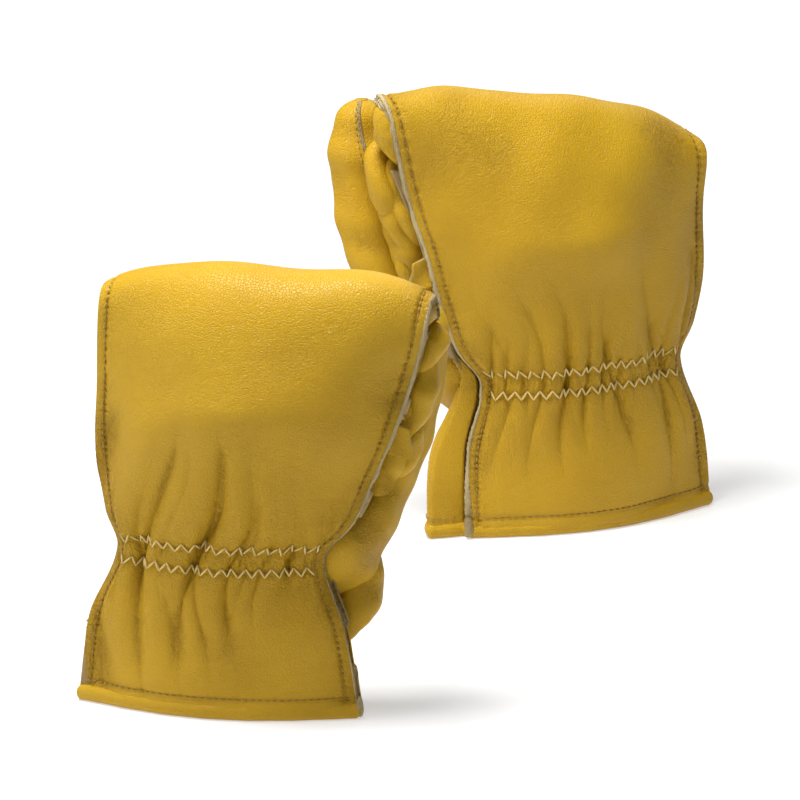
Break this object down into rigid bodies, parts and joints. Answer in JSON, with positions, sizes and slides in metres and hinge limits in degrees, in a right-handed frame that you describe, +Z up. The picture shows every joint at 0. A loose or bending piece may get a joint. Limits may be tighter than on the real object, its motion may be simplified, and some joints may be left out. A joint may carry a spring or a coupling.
{
  "type": "electrical insulating gloves",
  "caption": "Leather work gloves standing on their cuffs with the fingers folded over behind, elastic wrists and a rolled hem.",
  "frame": {"origin": "middle of the pair's bounding box, on the surface the cuffs stand on", "axes": "+Z up from the cuffs, -Y towards the viewer of the backs of the hands, Y is the longest extent"},
  "size_m": [0.2553, 0.33, 0.1849],
  "materials": {
    "grain_leather": "smooth grain, satin",
    "raw_leather": "raw suede edge",
    "thread": "twisted cream thread",
    "elastic": "knitted elastic"
  },
  "bodies": {
    "left_hand": {"left_back_panel": "grain_leather", "left_palm_panel": "grain_leather", "left_cuff_hem": "grain_leather", "left_hem_stitch": "thread", "left_wrist_elastic": "elastic", "left_zigzag_upper": "thread", "left_zigzag_lower": "thread", "left_little_seam_stitch": "thread", "left_index_seam_stitch": "thread", "left_index_welt": "raw_leather"},
    "left_fold": {"left_fold_back": "grain_leather", "left_fold_palm": "grain_leather"},
    "left_thumb": {"left_thumb_front": "grain_leather", "left_thumb_rear": "grain_leather", "left_thumb_stitch": "thread"},
    "left_little_finger": {"left_little_finger_back": "grain_leather", "left_little_finger_palm": "grain_leather"},
    "left_ring_finger": {"left_ring_finger_back": "grain_leather", "left_ring_finger_palm": "grain_leather"},
    "left_middle_finger": {"left_middle_finger_back": "grain_leather", "left_middle_finger_palm": "grain_leather"},
    "left_index_finger": {"left_index_finger_back": "grain_leather", "left_index_finger_palm": "grain_leather"},
    "right_hand": {"right_back_panel": "grain_leather", "right_palm_panel": "grain_leather", "right_cuff_hem": "grain_leather", "right_hem_stitch": "thread", "right_wrist_elastic": "elastic", "right_zigzag_upper": "thread", "right_zigzag_lower": "thread", "right_little_seam_stitch": "thread", "right_index_seam_stitch": "thread", "right_index_welt": "raw_leather"},
    "right_fold": {"right_fold_back": "grain_leather", "right_fold_palm": "grain_leather"},
    "right_thumb": {"right_thumb_front": "grain_leather", "right_thumb_rear": "grain_leather", "right_thumb_stitch": "thread"},
    "right_little_finger": {"right_little_finger_back": "grain_leather", "right_little_finger_palm": "grain_leather"},
    "right_ring_finger": {"right_ring_finger_back": "grain_leather", "right_ring_finger_palm": "grain_leather"},
    "right_middle_finger": {"right_middle_finger_back": "grain_leather", "right_middle_finger_palm": "grain_leather"},
    "right_index_finger": {"right_index_finger_back": "grain_leather", "right_index_finger_palm": "grain_leather"}
  },
  "joints": [
    {"name": "left_fold_over", "type": "hinge", "parent": "left_hand", "child": "left_fold", "pos_m": [-0.05736, -0.15188, 0.15925], "axis": [0.9744, -0.225, 0], "range_deg": [0, 88]},
    {"name": "left_little_finger_swing", "type": "hinge", "parent": "left_fold", "child": "left_little_finger", "pos_m": [-0.10019, -0.10623, 0.15925], "axis": [0.9744, -0.225, 0], "range_deg": [0, 88]},
    {"name": "left_ring_finger_swing", "type": "hinge", "parent": "left_fold", "child": "left_ring_finger", "pos_m": [-0.0768, -0.11162, 0.15925], "axis": [0.9744, -0.225, 0], "range_deg": [0, 88]},
    {"name": "left_middle_finger_swing", "type": "hinge", "parent": "left_fold", "child": "left_middle_finger", "pos_m": [-0.05342, -0.11702, 0.15925], "axis": [0.9744, -0.225, 0], "range_deg": [0, 88]},
    {"name": "left_index_finger_swing", "type": "hinge", "parent": "left_fold", "child": "left_index_finger", "pos_m": [-0.03003, -0.12242, 0.15925], "axis": [0.9744, -0.225, 0], "range_deg": [0, 88]},
    {"name": "left_thumb_swing", "type": "hinge", "parent": "left_hand", "child": "left_thumb", "pos_m": [-0.02458, -0.13435, 0.054], "axis": [0.225, 0.9744, 0], "range_deg": [0, 35]},
    {"name": "right_fold_over", "type": "hinge", "parent": "right_hand", "child": "right_fold", "pos_m": [0.06334, 0.10395, 0.15925], "axis": [0.8988, 0.4384, 0], "range_deg": [0, 88]},
    {"name": "right_little_finger_swing", "type": "hinge", "parent": "right_fold", "child": "right_little_finger", "pos_m": [0.09795, 0.1596, 0.15925], "axis": [0.8988, 0.4384, 0], "range_deg": [0, 88]},
    {"name": "right_ring_finger_swing", "type": "hinge", "parent": "right_fold", "child": "right_ring_finger", "pos_m": [0.07637, 0.14908, 0.15925], "axis": [0.8988, 0.4384, 0], "range_deg": [0, 88]},
    {"name": "right_middle_finger_swing", "type": "hinge", "parent": "right_fold", "child": "right_middle_finger", "pos_m": [0.0548, 0.13856, 0.15925], "axis": [0.8988, 0.4384, 0], "range_deg": [0, 88]},
    {"name": "right_index_finger_swing", "type": "hinge", "parent": "right_fold", "child": "right_index_finger", "pos_m": [0.03323, 0.12804, 0.15925], "axis": [0.8988, 0.4384, 0], "range_deg": [0, 88]},
    {"name": "right_thumb_swing", "type": "hinge", "parent": "right_hand", "child": "right_thumb", "pos_m": [0.02571, 0.11836, 0.054], "axis": [0.4384, -0.8988, 0], "range_deg": [0, 35]},
    {"name": "right_glove_apart", "type": "slide", "parent": "left_hand", "child": "right_hand", "axis": [0, 1, 0], "range_m": [0, 0.12]}
  ]
}
